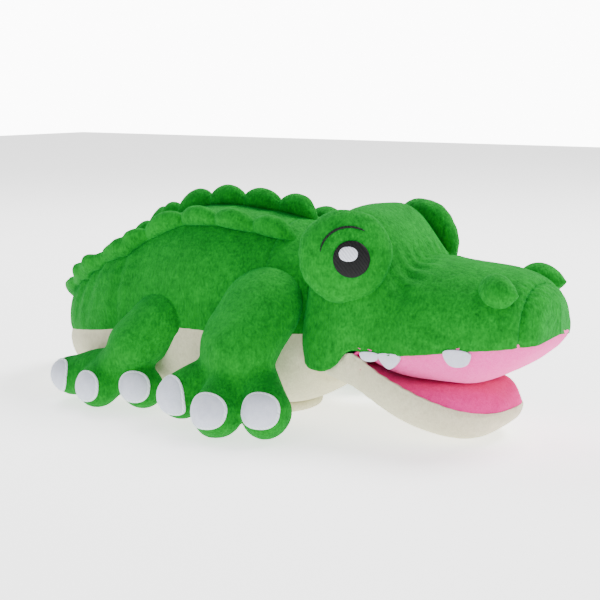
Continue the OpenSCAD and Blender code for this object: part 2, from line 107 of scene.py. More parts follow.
camera_data = bpy.data.cameras.new("camera")
camera_data.sensor_width = 36
camera_data.lens = 36 * LENS_TO_SENSOR
camera = bpy.data.objects.new("camera", camera_data)
bpy.context.scene.collection.objects.link(camera)
camera.location = (AIM - SIGHT * CAMERA_DISTANCE) * MM
camera.rotation_euler = Vector(SIGHT).to_track_quat("-Z", "Y").to_euler()
bpy.context.scene.camera = camera
print("camera lens", round(camera_data.lens, 1), "mm")

# %% [markdown]
# ## Writing shader maths as sums
# A node tree is easier to read as an expression. `Wire` wraps one output of a node, so that
# `1 - mask * 0.3` adds the Math nodes by itself. `Finish.node` makes every other kind of node:
# its settings come first, then the numbers or wires of its sockets.

# %% Shader helpers
class Wire:
    """One output of a shader node, which can be added, multiplied and so on."""

    def __init__(self, socket):
        self.socket = socket

    def _math(self, operation, first, second):
        node = self.socket.id_data.nodes.new("ShaderNodeMath")
        node.operation = operation
        for slot, value in zip(node.inputs, (first, second)):
            join(slot, value)
        return Wire(node.outputs[0])

    def __add__(self, other):
        return self._math("ADD", self, other)

    def __radd__(self, other):
        return self._math("ADD", other, self)

    def __sub__(self, other):
        return self._math("SUBTRACT", self, other)

    def __rsub__(self, other):
        return self._math("SUBTRACT", other, self)

    def __mul__(self, other):
        return self._math("MULTIPLY", self, other)

    def __rmul__(self, other):
        return self._math("MULTIPLY", other, self)


def join(slot, value):
    """Puts a number or a colour into a socket, or links a wire to it."""
    if isinstance(value, Wire):
        slot.id_data.links.new(value.socket, slot)
    else:
        slot.default_value = value


class Finish:
    """A material that is being built round one Principled shader."""

    def __init__(self, name, **constants):
        self.material = bpy.data.materials.new(name)
        self.material.use_nodes = True
        self.tree = self.material.node_tree
        self.shader = self.tree.nodes["Principled BSDF"]
        for title, value in constants.items():
            self.shader.inputs[title.replace("_", " ")].default_value = value
        self.place = self.node("ShaderNodeTexCoord", output="Object")

    def node(self, kind, settings=None, values=None, output=0):
        node = self.tree.nodes.new(kind)
        for title, value in (settings or {}).items():
            setattr(node, title, value)
        slots = {slot.identifier: slot for slot in node.inputs}
        for title, value in (values or {}).items():
            join(slots[title], value)
        return Wire(node.outputs[output])

    def noise(self, scale, detail=2.0, roughness=0.5, stretch=(1, 1, 1), output=0):
        where = self.node("ShaderNodeMapping", values={"Vector": self.place, "Scale": stretch})
        return self.node("ShaderNodeTexNoise", values={
            "Vector": where, "Scale": scale, "Detail": detail, "Roughness": roughness}, output=output)

    def mix(self, amount, first, second):
        return self.node("ShaderNodeMix", {"data_type": "RGBA"},
                         {"Factor_Float": amount, "A_Color": first, "B_Color": second}, output=2)

    def ramp(self, value, low, high):
        return self.node("ShaderNodeMapRange", None,
                         {"Value": value, "From Min": low, "From Max": high})

    def colour(self, value):
        join(self.shader.inputs["Base Color"], value)

    def relief(self, height, depth_mm, strength=1.0):
        bump = self.node("ShaderNodeBump", None,
                         {"Height": height, "Distance": depth_mm * MM, "Strength": strength})
        join(self.shader.inputs["Normal"], bump)


def rgb(red, green, blue):
    """A screen colour, 0 to 255, as the linear colour that shaders use."""
    def linear(c):
        c /= 255
        return c / 12.92 if c <= 0.04045 else ((c + 0.055) / 1.055) ** 2.4
    return (linear(red), linear(green), linear(blue), 1)


print("shader helpers ready")

# %% [markdown]
# ## Fabrics
# Short-pile plush is a knit with a dense, brushed pile about a millimetre high. It has no gloss:
# it looks lighter at grazing angles (sheen), and the pile lies in small clumps and strokes that
# shade light and dark. Felt is pressed fibre, finer and duller. The mouth lining is a brushed
# knit with a very short nap.

# %% Plush, felt and thread
def plush(name, shade, base, tip, nap=1.0, sheen=0.35, sheen_tint=(1, 1, 1, 1)):
    """Brushed pile: fine strokes, small clumps and broad patches where the pile was stroked."""
    fabric = Finish(name, Roughness=0.92, Sheen_Weight=sheen, Sheen_Roughness=0.45,
                    Sheen_Tint=sheen_tint, Specular_IOR_Level=0.15)
    strokes = fabric.noise(780 / nap, 3, 0.65, (1, 1, 0.55))
    clumps = fabric.noise(210 / nap, 2, 0.5)
    patches = fabric.noise(26, 2, 0.45)
    depth = fabric.ramp(strokes * 0.65 + clumps * 0.35 + patches * 0.08, 0.32, 0.74)
    fabric.colour(fabric.mix(depth, shade, fabric.mix(fabric.ramp(patches, 0.15, 0.9), base, tip)))
    fabric.relief(strokes * 0.7 + clumps * 0.5, 1.5 * nap, 0.75)
    return fabric.material


def felt(name, shade, base, sheen=0.2):
    """Pressed fibre: fine mottling and a slightly hairy surface."""
    fabric = Finish(name, Roughness=0.95, Sheen_Weight=sheen, Sheen_Roughness=0.6,
                    Specular_IOR_Level=0.1)
    fibres = fabric.noise(1700, 4, 0.7)
    mottle = fabric.noise(260, 3, 0.6)
    fabric.colour(fabric.mix(fabric.ramp(fibres * 0.5 + mottle * 0.5, 0.3, 0.7), shade, base))
    fabric.relief(fibres * 0.6 + mottle * 0.4, 0.35, 0.6)
    return fabric.material


def thread(name, shade, base, gloss=0.45, spacing=2600):
    """Satin stitch: parallel shiny threads laid side by side."""
    fabric = Finish(name, Roughness=gloss, Specular_IOR_Level=0.25)
    lay = fabric.node("ShaderNodeTexWave", {"bands_direction": "DIAGONAL"}, {
        "Vector": fabric.place, "Scale": spacing * 0.1, "Distortion": 1.2, "Detail": 2.0,
        "Detail Scale": 3.0}, output=1)
    fray = fabric.noise(1400, 2, 0.6)
    fabric.colour(fabric.mix(fabric.ramp(lay * 0.6 + fray * 0.4, 0.25, 0.8), shade, base))
    fabric.relief(lay * 0.8 + fray * 0.2, 0.25, 0.7)
    return fabric.material


GREEN_PLUSH = plush("plush_green", rgb(0, 92, 14), rgb(0, 138, 32), rgb(0, 160, 42),
                    sheen=0.16, sheen_tint=(0.01, 1, 0.2, 1))
CREAM_PLUSH = plush("plush_cream", rgb(196, 192, 160), rgb(218, 214, 184), rgb(230, 227, 198),
                    nap=0.7, sheen=0.1)
PALATE_KNIT = plush("palate_pink", rgb(236, 60, 154), rgb(250, 92, 178), rgb(253, 116, 194),
                    nap=0.45, sheen=0.1)
TONGUE_KNIT = plush("tongue_pink", rgb(216, 18, 118), rgb(238, 42, 150), rgb(250, 68, 170),
                    nap=0.45, sheen=0.1)
WHITE_FELT = felt("felt_white", rgb(196, 202, 220), rgb(222, 226, 240))
EDGE_THREAD = thread("edge_thread", rgb(214, 226, 236), rgb(240, 247, 252))
EYE_THREAD = thread("eye_black", rgb(0, 0, 0), rgb(5, 5, 10), 0.6)
HIGHLIGHT_THREAD = thread("highlight_white", rgb(205, 208, 224), rgb(236, 238, 250))
BROW_THREAD = thread("thread_dark", rgb(0, 12, 2), rgb(0, 34, 8), 0.6)
LINING_CLOTH = felt("lining", rgb(150, 156, 150), rgb(186, 190, 184), 0.1)
print("fabrics:", len(bpy.data.materials))

# %% [markdown]
# ## Meshes from stations
# A soft toy's panel is a smooth surface that changes slowly along its length. So a shape is
# written as a few stations, each with its width and height, and a smooth curve runs through
# them. The points form a grid, which becomes a mesh with even quads.

# %% Curves and grids
def smooth(rows):
    """A smooth curve through (position, value, ...) rows; it never overshoots much."""
    rows = np.array(rows, float)
    at, values = rows[:, 0], rows[:, 1:]
    slopes = np.gradient(values, at, axis=0)

    def value(x):
        x = np.clip(np.atleast_1d(np.asarray(x, float)), at[0], at[-1])
        i = np.clip(np.searchsorted(at, x) - 1, 0, len(at) - 2)
        step = (at[i + 1] - at[i])[:, None]
        t = (x - at[i])[:, None] / step
        a, b, da, db = values[i], values[i + 1], slopes[i] * step, slopes[i + 1] * step
        return (a * (1 + 2 * t) * (1 - t) ** 2 + da * t * (1 - t) ** 2
                + b * t * t * (3 - 2 * t) - db * t * t * (1 - t))
    return value


def bow(c, power):
    """cos or sin raised so that a circle swells towards a rounded square."""
    return np.sign(c) * np.abs(c) ** (2 / power)


def mesh_object(name, points, faces):
    """A mesh object from points in millimetres."""
    data = bpy.data.meshes.new(name)
    data.from_pydata((np.asarray(points, float) * MM).tolist(), [], [list(map(int, f)) for f in faces])
    data.validate()
    piece = bpy.data.objects.new(name, data)
    bpy.context.scene.collection.objects.link(piece)
    return piece


def grid_faces(nu, nv, wrap=False, start=0):
    """Quads of a grid of nu rows of nv points, closed round the row when wrap is set."""
    faces = []
    for i in range(nu - 1):
        for j in range(nv if wrap else nv - 1):
            k = (j + 1) % nv
            faces.append((start + i * nv + j, start + i * nv + k,
                          start + (i + 1) * nv + k, start + (i + 1) * nv + j))
    return faces


def tidy(piece, weld_mm=0.02, outward=True):
    """Welds double points, makes the faces point outward and shades them smooth."""
    b = bmesh.new()
    b.from_mesh(piece.data)
    bmesh.ops.remove_doubles(b, verts=b.verts, dist=weld_mm * MM)
    bmesh.ops.dissolve_degenerate(b, edges=b.edges, dist=weld_mm * MM / 2)
    if outward:
        bmesh.ops.recalc_face_normals(b, faces=b.faces)
    for face in b.faces:
        face.smooth = True
    b.to_mesh(piece.data)
    b.free()
    return piece


def solid_tube(name, rings):
    """A closed mesh through rings of points, its ends closed by a fan to their middles."""
    rings = np.asarray(rings, float)
    nu, nv = rings.shape[:2]
    points = np.concatenate([rings.reshape(-1, 3), rings[0].mean(0)[None], rings[-1].mean(0)[None]])
    faces = grid_faces(nu, nv, True)
    for j in range(nv):
        k = (j + 1) % nv
        faces.append((nu * nv, k, j))
        faces.append((nu * nv + 1, (nu - 1) * nv + j, (nu - 1) * nv + k))
    return tidy(mesh_object(name, points, faces))


def points_of(piece):
    """The mesh's points in millimetres, as rows."""
    flat = np.empty(len(piece.data.vertices) * 3)
    piece.data.vertices.foreach_get("co", flat)
    return flat.reshape(-1, 3) / MM


def normals_of(piece):
    flat = np.empty(len(piece.data.vertices) * 3)
    piece.data.vertex_normals.foreach_get("vector", flat)
    return flat.reshape(-1, 3)


def move_points(piece, points):
    piece.data.vertices.foreach_set("co", (points * MM).ravel())
    piece.data.update()


def run_modifier(piece, kind, **settings):
    """Adds one modifier and applies it at once."""
    modifier = piece.modifiers.new(kind.lower(), kind)
    for title, value in settings.items():
        setattr(modifier, title, value)
    bpy.context.view_layer.objects.active = piece
    with bpy.context.temp_override(object=piece, active_object=piece):
        bpy.ops.object.modifier_apply(modifier=modifier.name)
    return piece


def fuse(name, parts, voxel_mm, rounds=6, factor=0.5):
    """Melts overlapping closed parts into one skin, then relaxes it, as stuffing would."""
    joined = parts[0]
    with bpy.context.temp_override(active_object=joined, selected_editable_objects=parts,
                                   selected_objects=parts, object=joined):
        bpy.ops.object.join()
    joined.name = joined.data.name = name
    run_modifier(joined, "REMESH", mode="VOXEL", voxel_size=voxel_mm * MM, use_smooth_shade=True)
    run_modifier(joined, "SMOOTH", factor=factor, iterations=rounds)
    return joined


print("mesh helpers ready")

# %% [markdown]
# ## What makes stuffed fabric look stuffed
# A stuffed panel is never as even as its pattern. It wanders by a millimetre or so where the
# filling lies in lumps, it pulls in at every seam, and short wrinkles run off the seam where the
# fabric was gathered. All three are small shifts along the surface's own direction, so one
# function for each is enough, and every form below uses them.

# %% Lumps, seams and gathers
def lumps(points, size_mm, height_mm, phase=0.0):
    """Slow swells of filling: crossed waves that never line up."""
    x, y, z = (np.asarray(points, float) / size_mm * 2 * math.pi).T
    waves = (np.sin(x + 1.7 * np.sin(0.6 * y) + phase) + np.sin(0.83 * y - 0.5 * z + 2 * phase)
             + np.sin(1.13 * z + 0.7 * x + 3 * phase))
    return height_mm / 3 * waves


def seam_dip(distance, depth_mm, width_mm=1.6):
    return -depth_mm * np.exp(-(distance / width_mm) ** 2)


def gathers(distance, along, height_mm, reach_mm=9.0, spacing_mm=7.0):
    """Short wrinkles that run off a seam and fade out."""
    wave = np.sin(2 * math.pi * along / spacing_mm + 1.3 * np.sin(along / 11))
    return height_mm * wave * np.exp(-distance / reach_mm)


print("filling helpers ready")

# %% [markdown]
# ## The body and the tail
# One green back panel and one cream belly panel run from the neck to the tip of the tail, sewn
# together along both sides. The body is widest behind the front legs, the tail is curled to the
# animal's left. The form follows a centre line, straight at first and then an arc, with a
# rounded-square section across it. The front end is a piece of its own.

# %% Body form
STRAIGHT = 40 - TAIL[0]
BEND_RADIUS, BEND_TURN = 63.9, math.radians(104)
BODY_END = STRAIGHT + BEND_RADIUS * BEND_TURN
# distance back from x = 40: half width, height of the side seam, of the back and of the belly
BODY = smooth([
    (0, 36, 52, 101, 21), (8, 40, 52, 105, 14), (20, 44, 51, 108.5, 8), (35, 48, 50, 112, 4.6),
    (55, 51.5, 49.5, 115, 3.8), (80, 52.5, 49.5, 116, 3.6), (105, 51, 48, 113, 3.4),
    (125, 48.5, 45, 106.5, 3.4), (140, 47.5, 41, 99, 3.6), (160, 44, 36, 86, 4),
    (180, 39.5, 31, 71, 4), (203, 32, 24, 51, 3), (226, 21.5, 16.5, 31.5, 2.2),
    (BODY_END - 6, 9, 11.5, 17, 5), (BODY_END, 2, 9.5, 11, 8)])


def body_frame(s):
    """Middle of the body at distance s, and the direction to the animal's left there."""
    angle = np.clip((s - STRAIGHT) / BEND_RADIUS, 0, None)
    along = np.minimum(s, STRAIGHT)
    x = 40 - along - BEND_RADIUS * np.sin(angle)
    y = BEND_RADIUS * (1 - np.cos(angle))
    return x, y, np.sin(angle), np.cos(angle)


def body_point(s, v, lift=0.0):
    """A point of the body's surface; v runs from the right seam (0) over the back to the left."""
    s, v = np.broadcast_arrays(np.asarray(s, float), np.asarray(v, float))
    half, seam, top, bottom = BODY(s.ravel()).T.reshape(4, *s.shape)
    x, y, side_x, side_y = body_frame(s)
    angle = np.radians(v)
    upper = np.sin(angle) >= 0
    power = np.where(upper, 2.3, 2.9)
    across = -(half + lift) * bow(np.cos(angle), power)
    rise = np.where(upper, top - seam, seam - bottom) + lift
    up = rise * bow(np.sin(angle), power)
    return np.stack([x + across * side_x, y + across * side_y, seam + up], axis=-1)


def body_skin_points(s, v):
    """The same surface with its filling, side seams, gathers and the folds of the bent rump."""
    flat = body_point(s, v)
    out = body_point(s, v, 1.0) - flat
    s, v = np.broadcast_arrays(np.asarray(s, float), np.asarray(v, float))
    half = BODY(s.ravel())[:, 0].reshape(s.shape)
    from_seam = np.minimum.reduce([np.abs(v), np.abs(v - 180), np.abs(v - 360)]) / 57.3 * half
    push = lumps(flat.reshape(-1, 3), 62, 1.1).reshape(s.shape)
    push += seam_dip(from_seam, 1.1) + gathers(from_seam, s, 0.35)
    rump = np.exp(-((s - 158) / 17) ** 2) * np.clip(np.sin(np.radians(np.clip(v, 0, 90) * 2)), 0, 1)
    push += rump * 1.3 * np.sin(s / 9 * 2 * math.pi + v / 30)
    push += seam_dip(s - 134, 1.5, 2.2) + gathers(np.abs(s - 134), v / 57.3 * half, 0.45, 8, 8)
    push *= np.clip(half / 30, 0.15, 1)
    return flat + out * push[..., None]


def paint(piece, *materials):
    for material in materials:
        piece.data.materials.append(material)
    return piece


def thicken(piece, thickness_mm=1.8):
    """Gives an open panel the thickness of the fabric, on its inner side."""
    return run_modifier(piece, "SOLIDIFY", thickness=thickness_mm * MM, offset=-1, use_rim=True)


NECK_CUT = 30
RING = np.linspace(0, 360, 145)
BODY_LENGTHS = np.concatenate([np.arange(NECK_CUT, BODY_END - 1, 2.0), [BODY_END - 0.6, BODY_END]])
HAND_SLOT = np.array([-26.4, 0.0])
SLOT_LENGTH, SLOT_WIDTH = 72, 52


def slot_distance(x, y):
    """How far a point lies outside the round-ended hand opening; negative inside it."""
    half = (SLOT_LENGTH - SLOT_WIDTH) / 2
    dx = np.maximum(np.abs(x - HAND_SLOT[0]) - half, 0)
    return np.hypot(dx, y - HAND_SLOT[1]) - SLOT_WIDTH / 2


def shell(name, lengths, closed_tail=False):
    """Part of the body's skin as one mesh: faces on top get the first material, the belly's the
    second, and the hand opening is left out."""
    s, v = np.meshgrid(lengths, RING[:-1], indexing="ij")
    points = body_skin_points(s, v).reshape(-1, 3)
    faces = grid_faces(len(lengths), len(RING) - 1, True)
    centres = np.array([points[list(f)].mean(0) for f in faces])
    open_here = (slot_distance(centres[:, 0], centres[:, 1]) < 0) & (centres[:, 2] < 20)
    kept = [f for f, gone in zip(faces, open_here) if not gone]
    below = [(f[0] % (len(RING) - 1)) >= (len(RING) - 1) // 2 for f in kept]
    piece = paint(mesh_object(name, points, kept), GREEN_PLUSH, CREAM_PLUSH)
    piece.data.polygons.foreach_set("material_index", np.array(below, int))
    b = bmesh.new()
    b.from_mesh(piece.data)
    bmesh.ops.delete(b, geom=[p for p in b.verts if not p.link_faces], context="VERTS")
    if closed_tail:
        rim = [e for e in b.edges
               if e.is_boundary and e.verts[0].co.x < -0.06 and e.verts[0].co.y > 0.04]
        bmesh.ops.contextual_create(b, geom=rim)
    else:
        rim = [e for e in b.edges if e.is_boundary and e.verts[0].co.x > 0.036]
        for face in bmesh.ops.contextual_create(b, geom=rim)["faces"]:
            face.material_index = 1
    bmesh.ops.recalc_face_normals(b, faces=b.faces)
    for face in b.faces:
        face.smooth = True
    b.to_mesh(piece.data)
    b.free()
    return piece


body_skin = thicken(shell("body_skin", BODY_LENGTHS, True))
neck_skin = thicken(shell("neck_skin", np.arange(0, NECK_CUT + 0.1, 2.0)))
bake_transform(body_skin)
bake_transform(neck_skin)
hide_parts("torso_back_panel", "torso_belly_panel", "torso_padding",
            "tail_upper_panel", "tail_under_panel", "tail_stuffing")
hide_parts("neck_sleeve")
print("body skin", len(body_skin.data.polygons), "faces")

# %% [markdown]
# ## The hand opening
# The hand goes in through a slot in the belly. Its edge is turned in and sewn as a rolled hem,
# and a smooth woven lining hangs inside like a pocket that leads forward to the head. The hem's
# flat underside is the lowest part of the body, so the puppet rests on it.

# %% Hem and lining
def slot_outline(grow, count=96):
    """Points round the hand opening, grown outward by so many millimetres."""
    half, radius = (SLOT_LENGTH - SLOT_WIDTH) / 2, SLOT_WIDTH / 2 + grow
    angles = np.linspace(0, 2 * math.pi, count, endpoint=False)
    shift = half * np.sign(np.cos(angles)) * (np.abs(np.cos(angles)) > 1e-9)
    return np.stack([HAND_SLOT[0] + shift + radius * np.cos(angles),
                     HAND_SLOT[1] + radius * np.sin(angles)], axis=-1)


def ring_sweep(name, profile):
    """A closed band round the hand opening; profile is a list of (outward, height)."""
    rings = np.stack([np.concatenate([slot_outline(out), np.full((96, 1), up)], axis=1)
                      for out, up in profile])
    faces = grid_faces(len(profile), 96, True)
    for j in range(96):
        k = (j + 1) % 96
        faces.append(((len(profile) - 1) * 96 + j, (len(profile) - 1) * 96 + k, k, j))
    return tidy(mesh_object(name, rings.reshape(-1, 3), faces))


hem_profile = [(3.2 + 3.4 * math.cos(a), max(0.0, 3.0 + 3.4 * math.sin(a)))
               for a in np.linspace(0, 2 * math.pi, 16, endpoint=False)]
hem = paint(ring_sweep("opening_hem_roll", hem_profile), CREAM_PLUSH)
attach(hem, "torso")
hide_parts("opening_hem")

pocket = smooth([(0, 0, 0), (10, 1.5, 2), (40, 6, 14), (70, 1, 24), (84, -12, 30), (92, -25, 32)])
pocket_rings = []
for height in np.linspace(2, 92, 40):
    grow, forward = pocket(height)[0]
    ring = slot_outline(grow, 96)
    pocket_rings.append(np.concatenate([ring + [forward, 0], np.full((96, 1), height)], axis=1))
lining = paint(mesh_object("hand_pocket", np.concatenate(pocket_rings),
                           grid_faces(40, 96, True) + [tuple(range(39 * 96, 40 * 96))]), LINING_CLOTH)
tidy(lining, outward=False)
thicken(lining, 0.8)
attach(lining, "torso")
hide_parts("hand_lining")
print("hem and lining ready")

# %% [markdown]
# ## The head
# One green panel covers the crown, both cheeks and the long snout, down to the lip. The crown
# drops steeply to the snout, and the fabric puckers in that fold. A cap closes the blunt end of
# the snout, with a seam just behind it. Two rounded pads stand on the sides of the crown and
# carry the eyes, so the crown itself is a little lower in the middle.

# %% Head form
HEAD = smooth([
    (34, 33, 43, 99), (36, 40, 39, 106), (40, 44.5, 36.5, 113.5), (48, 47.5, 35, 119),
    (56, 48.8, 36, 120), (62, 49.2, 40, 119.5), (67, 49, 46, 118), (72, 48.4, 48.5, 115.5),
    (78, 47.4, 47.6, 110.5), (84, 46.2, 47.4, 104), (90, 45, 47.4, 98), (96, 44.2, 47.8, 95.4),
    (105, 43.4, 48.8, 94.6), (116, 42, 50.4, 94), (128, 40.2, 52.6, 93.2), (140, 37.8, 54, 92),
    (150, 34.6, 55.2, 90), (157, 30, 56.2, 87), (162, 24, 56.8, 83.5), (165.4, 16.5, 57.6, 80),
    (167.6, 0.4, 60, 75)])
NOSE_TIP, CAP_SEAM = 167.6, 158.0
PAD_CENTRE, PAD_RADIUS = np.array([64.0, 97.5]), 24.5


def head_point(x, v, lift=0.0):
    """A point of the head's surface; v runs from the right lip (0) over the top to the left."""
    x, v = np.broadcast_arrays(np.asarray(x, float), np.asarray(v, float))
    half, edge, top = HEAD(x.ravel()).T.reshape(3, *x.shape)
    angle = np.radians(v)
    across = -(half + lift) * bow(np.cos(angle), 2.45)
    up = edge + (top - edge + lift) * bow(np.sin(angle), 2.45)
    brow = 8.5 * np.exp(-((x - 61) / 17) ** 2 - ((np.abs(across) - 31) / 15) ** 2)
    return np.stack([x, across, up + brow * np.sin(angle) ** 2], axis=-1)


def head_skin_points(x, v):
    flat = head_point(x, v)
    x, v = np.broadcast_arrays(np.asarray(x, float), np.asarray(v, float))
    step = 0.4
    along = head_point(np.minimum(x + step, NOSE_TIP - 0.1), v) - head_point(np.maximum(x - step, 34), v)
    round_ = head_point(x, v + 1) - head_point(x, v - 1)
    out = np.cross(along, round_)
    out /= np.maximum(np.linalg.norm(out, axis=-1, keepdims=True), 1e-6)
    out *= np.sign((out * (head_point(x, v, 1) - flat)).sum(-1, keepdims=True))
    side, up = flat[..., 1], flat[..., 2]
    push = lumps(flat.reshape(-1, 3), 48, 1.0, 1.0).reshape(x.shape)
    crown = np.sin(np.radians(np.clip(v, 0, 180)))
    fold = np.exp(-((x - 93) / 4.5) ** 2) * crown ** 2
    pucker = np.exp(-((x - 96) / 9) ** 2) * crown
    push += -2.2 * fold + 0.9 * pucker * np.sin(side / 7.5 * 2 * math.pi + x / 6)
    cheek = np.exp(-((x - 82) / 12) ** 2 - ((up - 66) / 15) ** 2)
    push += 1.6 * np.exp(-((x - 66) / 16) ** 2 - ((up - 60) / 13) ** 2) - 1.5 * cheek
    push += seam_dip(x - CAP_SEAM, 1.3, 1.5) + gathers(np.abs(x - CAP_SEAM), up + side, 0.3, 5, 6)
    lip = np.minimum(v, 180 - v) / 57.3 * 40
    push += seam_dip(lip, 0.9, 2.0) + gathers(lip, x, 0.35 * (x > 72), 6, 6.5)
    return flat + out * (push * np.clip(HEAD(x.ravel())[:, 0].reshape(x.shape) / 25, 0.1, 1))[..., None]


ARCH = np.concatenate([[0, 0.6, 1.6], np.linspace(3, 177, 100), [178.4, 179.4, 180]])


def head_piece(name, lengths):
    x, v = np.meshgrid(lengths, ARCH, indexing="ij")
    points = head_skin_points(x, v).reshape(-1, 3)
    piece = tidy(mesh_object(name, points, grid_faces(len(lengths), len(ARCH))), outward=False)
    if normals_of(piece)[len(ARCH) // 2][2] < 0:
        piece.data.flip_normals()
    paint(piece, GREEN_PLUSH)
    thicken(piece, 2.0)
    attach(piece, "head")
    return piece


TIP = CAP_SEAM + (NOSE_TIP - CAP_SEAM) * np.sin(np.linspace(0, math.pi / 2, 22))
HEAD_LENGTHS = np.concatenate([[34, 34.7, 35.6, 37], np.arange(38.5, CAP_SEAM - 0.5, 1.5), [CAP_SEAM]])
head_skin = head_piece("head_skin", HEAD_LENGTHS)
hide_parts("head_panel", "head_padding")
snout_cap = head_piece("snout_end_cap", TIP)
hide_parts("snout_cap")
print("head skin", len(head_skin.data.polygons), "faces")

# %% [markdown]
# ## Patches that lie on a surface
# Eyes, nails and highlights are flat pieces of felt or thread that follow the form they are sewn
# to. Each one starts as an outline in a plane in front of the form. A ray goes from every point
# of it to the surface, and the patch is laid on there, with a little height of its own.

# %% Laying a patch
def surface_of(*pieces):
    points, faces = [], []
    for piece in pieces:
        start = len(points)
        points += [v.co.copy() for v in piece.data.vertices]
        faces += [[start + i for i in p.vertices] for p in piece.data.polygons]
    return BVHTree.FromPolygons(points, faces)


def drop_on(surface, starts, direction):
    """Where rays from the starts hit the surface, with the normal there, in millimetres."""
    direction = Vector(direction).normalized()
    hits, normals = [], []
    for start in starts:
        place, normal, _, _ = surface.ray_cast(Vector(start * MM), direction)
        if place is None:
            place, normal, _, _ = surface.find_nearest(Vector(start * MM) + direction * 0.02)
        if normal.dot(direction) > 0:
            normal = -normal
        hits.append(np.array(place) / MM)
        normals.append(np.array(normal))
    return np.array(hits), np.array(normals)


def lay_patch(name, surface, centre, facing, upright, outline, height_mm, rim_mm=0.4,
              rings=10, count=64):
    """A domed patch; outline(angle) gives its (sideways, up) size, facing points out of the form."""
    facing = np.array(facing, float) / np.linalg.norm(facing)
    side = np.cross(upright, facing)
    side /= np.linalg.norm(side)
    up = np.cross(facing, side)
    angles = np.linspace(0, 2 * math.pi, count, endpoint=False)
    edge = np.array([outline(a) for a in angles])
    radii = np.sin(np.linspace(0, math.pi / 2, rings))[1:]
    flat = [np.array([[0.0, 0.0]])] + [edge * r for r in radii]
    starts = np.concatenate(flat) @ np.array([side, up]) + centre + facing * 25
    hits, normals = drop_on(surface, starts, -facing)
    mean_normal = normals.mean(0) / np.linalg.norm(normals.mean(0))
    share = np.concatenate([[0.0]] + [np.full(count, r) for r in radii])
    lift = rim_mm + (height_mm - rim_mm) * np.sqrt(np.clip(1 - share ** 4, 0, 1))
    top = hits + (normals * 0.4 + mean_normal * 0.6) * lift[:, None]
    low = hits[-count:] - mean_normal * 0.8
    points = np.concatenate([top, low])
    faces = [(0, 1 + j, 1 + (j + 1) % count) for j in range(count)]
    faces += grid_faces(rings - 1, count, True, 1)
    first = 1 + (rings - 2) * count
    faces += [(first + j, first + count + j, first + count + (j + 1) % count, first + (j + 1) % count)
              for j in range(count)]
    faces.append(tuple(first + count + j for j in range(count)))
    return tidy(mesh_object(name, points, faces))


def sewn_line(name, surface, line, facing, width_mm, height_mm, ends=True):
    """A raised line of satin stitch along a path that is dropped on the surface."""
    line = np.asarray(line, float)
    facing = np.array(facing, float) / np.linalg.norm(facing)
    hits, normals = drop_on(surface, line + facing * 25, -facing)
    ahead = np.gradient(hits, axis=0)
    ahead /= np.linalg.norm(ahead, axis=1, keepdims=True)
    side = np.cross(ahead, normals)
    side /= np.linalg.norm(side, axis=1, keepdims=True)
    t = np.linspace(0, 1, len(line))
    taper = np.clip(np.sin(t * math.pi), 0, 1) ** 0.35 if ends else np.ones(len(line))
    rings = []
    for angle in np.linspace(0, 2 * math.pi, 10, endpoint=False):
        rings.append(hits + side * (width_mm / 2 * math.cos(angle) * taper)[:, None]
                     + normals * (height_mm * (0.35 + 0.65 * math.sin(angle)) * taper)[:, None])
    return solid_tube(name, np.stack(rings, axis=1))


print("patch helpers ready")

# %% [markdown]
# ## Eye pads, eyes and brows
# Each pad is a stuffed disc that stands upright on the side of the crown. It domes outward, and
# its rim is drawn in by the seam that joins it to the head. The eye is satin stitch, with a
# plain rounded catch-light in a lighter thread. The brow is a line of dark stitching above it.

# %% Eyes
def eye_pad(name, side):
    """side is -1 for the animal's right and +1 for its left."""
    rings = []
    for share in np.concatenate([[0.02], np.sin(np.linspace(0.12, math.pi / 2, 18))]):
        rings.append((share, 9.5 * (1 - share ** 3.2) ** 0.6))
    rings += [(0.99, -2.0), (0.93, -5.0), (0.8, -8.0)]
    angles = np.linspace(0, 2 * math.pi, 96, endpoint=False)
    loops = []
    for share, height in rings:
        reach = PAD_RADIUS * share * (1 + 0.015 * np.sin(3 * angles) + 0.01 * np.sin(7 * angles + 1))
        ripple = 0.35 * share ** 6 * np.sin(angles * 19 + side) * (height > -1)
        x = PAD_CENTRE[0] + reach * np.cos(angles)
        z = PAD_CENTRE[1] + reach * np.sin(angles)
        lean = 0.10 * (z - PAD_CENTRE[1]) + 0.24 * (x - PAD_CENTRE[0])
        loops.append(np.stack([x, side * (43.2 + height + ripple - lean), z], axis=1))
    piece = paint(solid_tube(name, np.array(loops)), GREEN_PLUSH)
    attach(piece, "head")
    return piece


def round_outline(width, height, power=2.0):
    def outline(angle):
        return (width / 2 * bow(math.cos(angle), power), height / 2 * bow(math.sin(angle), power))
    return outline


